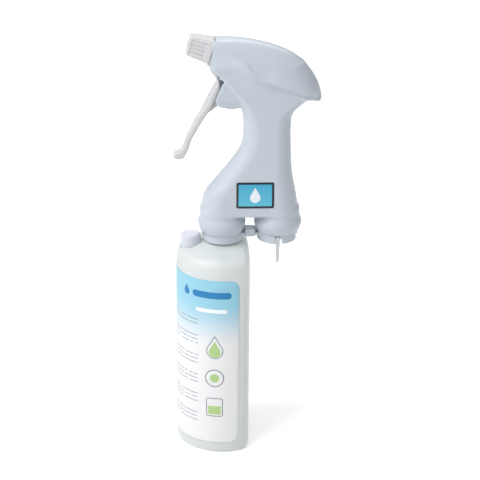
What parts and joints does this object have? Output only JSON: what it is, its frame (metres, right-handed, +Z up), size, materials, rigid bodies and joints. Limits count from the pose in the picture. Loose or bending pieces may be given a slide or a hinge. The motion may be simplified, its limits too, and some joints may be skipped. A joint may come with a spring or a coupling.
{
  "type": "trigger spray bottle",
  "caption": "Trigger spray bottle: D-shaped bottle under a pistol-grip head with a spare bottle socket; trigger, nozzle, release bar and filler cap move.",
  "frame": {"origin": "on the ground at the foot of the bottle's flat side, midway between the two socket axes", "axes": "+Z up, -X the way it sprays, +Y the user's right"},
  "size_m": [0.1078, 0.0703, 0.3266],
  "materials": {
    "head_plastic": "satin pale lavender-grey polypropylene",
    "pale_plastic": "satin warm light grey polypropylene",
    "bottle_plastic": "translucent natural polyethylene",
    "tube_plastic": "clear flexible tube",
    "rubber": "soft",
    "steel": "bright stainless",
    "label": "printed film, blue fading to white",
    "badge": "printed film, cyan with a dark frame"
  },
  "bodies": {
    "bottle": {"bottle": "bottle_plastic", "bottle_label": "label", "neck_insert": "pale_plastic", "dip_tube": "tube_plastic", "fill_cap_pin": "steel"},
    "head": {"left_shell": "head_plastic", "right_shell": "head_plastic", "pump_body": "pale_plastic", "trigger_pin": "steel", "spinner": "pale_plastic", "outlet_valve": "rubber", "manifold": "pale_plastic", "front_feed_tube": "tube_plastic", "rear_feed_tube": "tube_plastic", "front_inlet_ball": "steel", "rear_inlet_ball": "steel", "socket_frame": "head_plastic", "front_neck_seal": "rubber", "rear_neck_seal": "rubber", "front_index_prong": "pale_plastic", "rear_index_prong": "pale_plastic", "badge": "badge", "return_spring": "steel", "latch_spring": "steel"},
    "trigger": {"trigger": "pale_plastic"},
    "piston": {"piston": "pale_plastic", "piston_seal": "rubber"},
    "nozzle": {"nozzle_cap": "pale_plastic"},
    "latch": {"latch_slide": "head_plastic"},
    "fill_cap": {"fill_cap": "bottle_plastic"}
  },
  "joints": [
    {"name": "head_lift", "type": "slide", "parent": "bottle", "child": "head", "axis": [0, 0, 1], "range_m": [0, 0.06]},
    {"name": "trigger_pull", "type": "hinge", "parent": "head", "child": "trigger", "pos_m": [-0.027, 0, 0.3015], "axis": [0, -1, 0], "range_deg": [0, 15]},
    {"name": "piston_slide", "type": "slide", "parent": "head", "child": "piston", "axis": [1, 0, 0], "range_m": [0, 0.0054], "deforming": ["return_spring"]},
    {"name": "nozzle_turn", "type": "hinge", "parent": "head", "child": "nozzle", "pos_m": [-0.0289, 0, 0.3149], "axis": [-0.9613, 0, 0.2756], "range_deg": [0, 90]},
    {"name": "latch_press", "type": "slide", "parent": "head", "child": "latch", "axis": [0, 1, 0], "range_m": [0, 0.0014], "deforming": ["latch_spring"]},
    {"name": "fill_cap_flip", "type": "hinge", "parent": "bottle", "child": "fill_cap", "pos_m": [-0.0523, 0, 0.161], "axis": [0, -1, 0], "range_deg": [0, 100]}
  ],
  "couplings": [
    {"joint": "piston_slide", "follows": "trigger_pull", "m_per_rad": 0.02062}
  ]
}
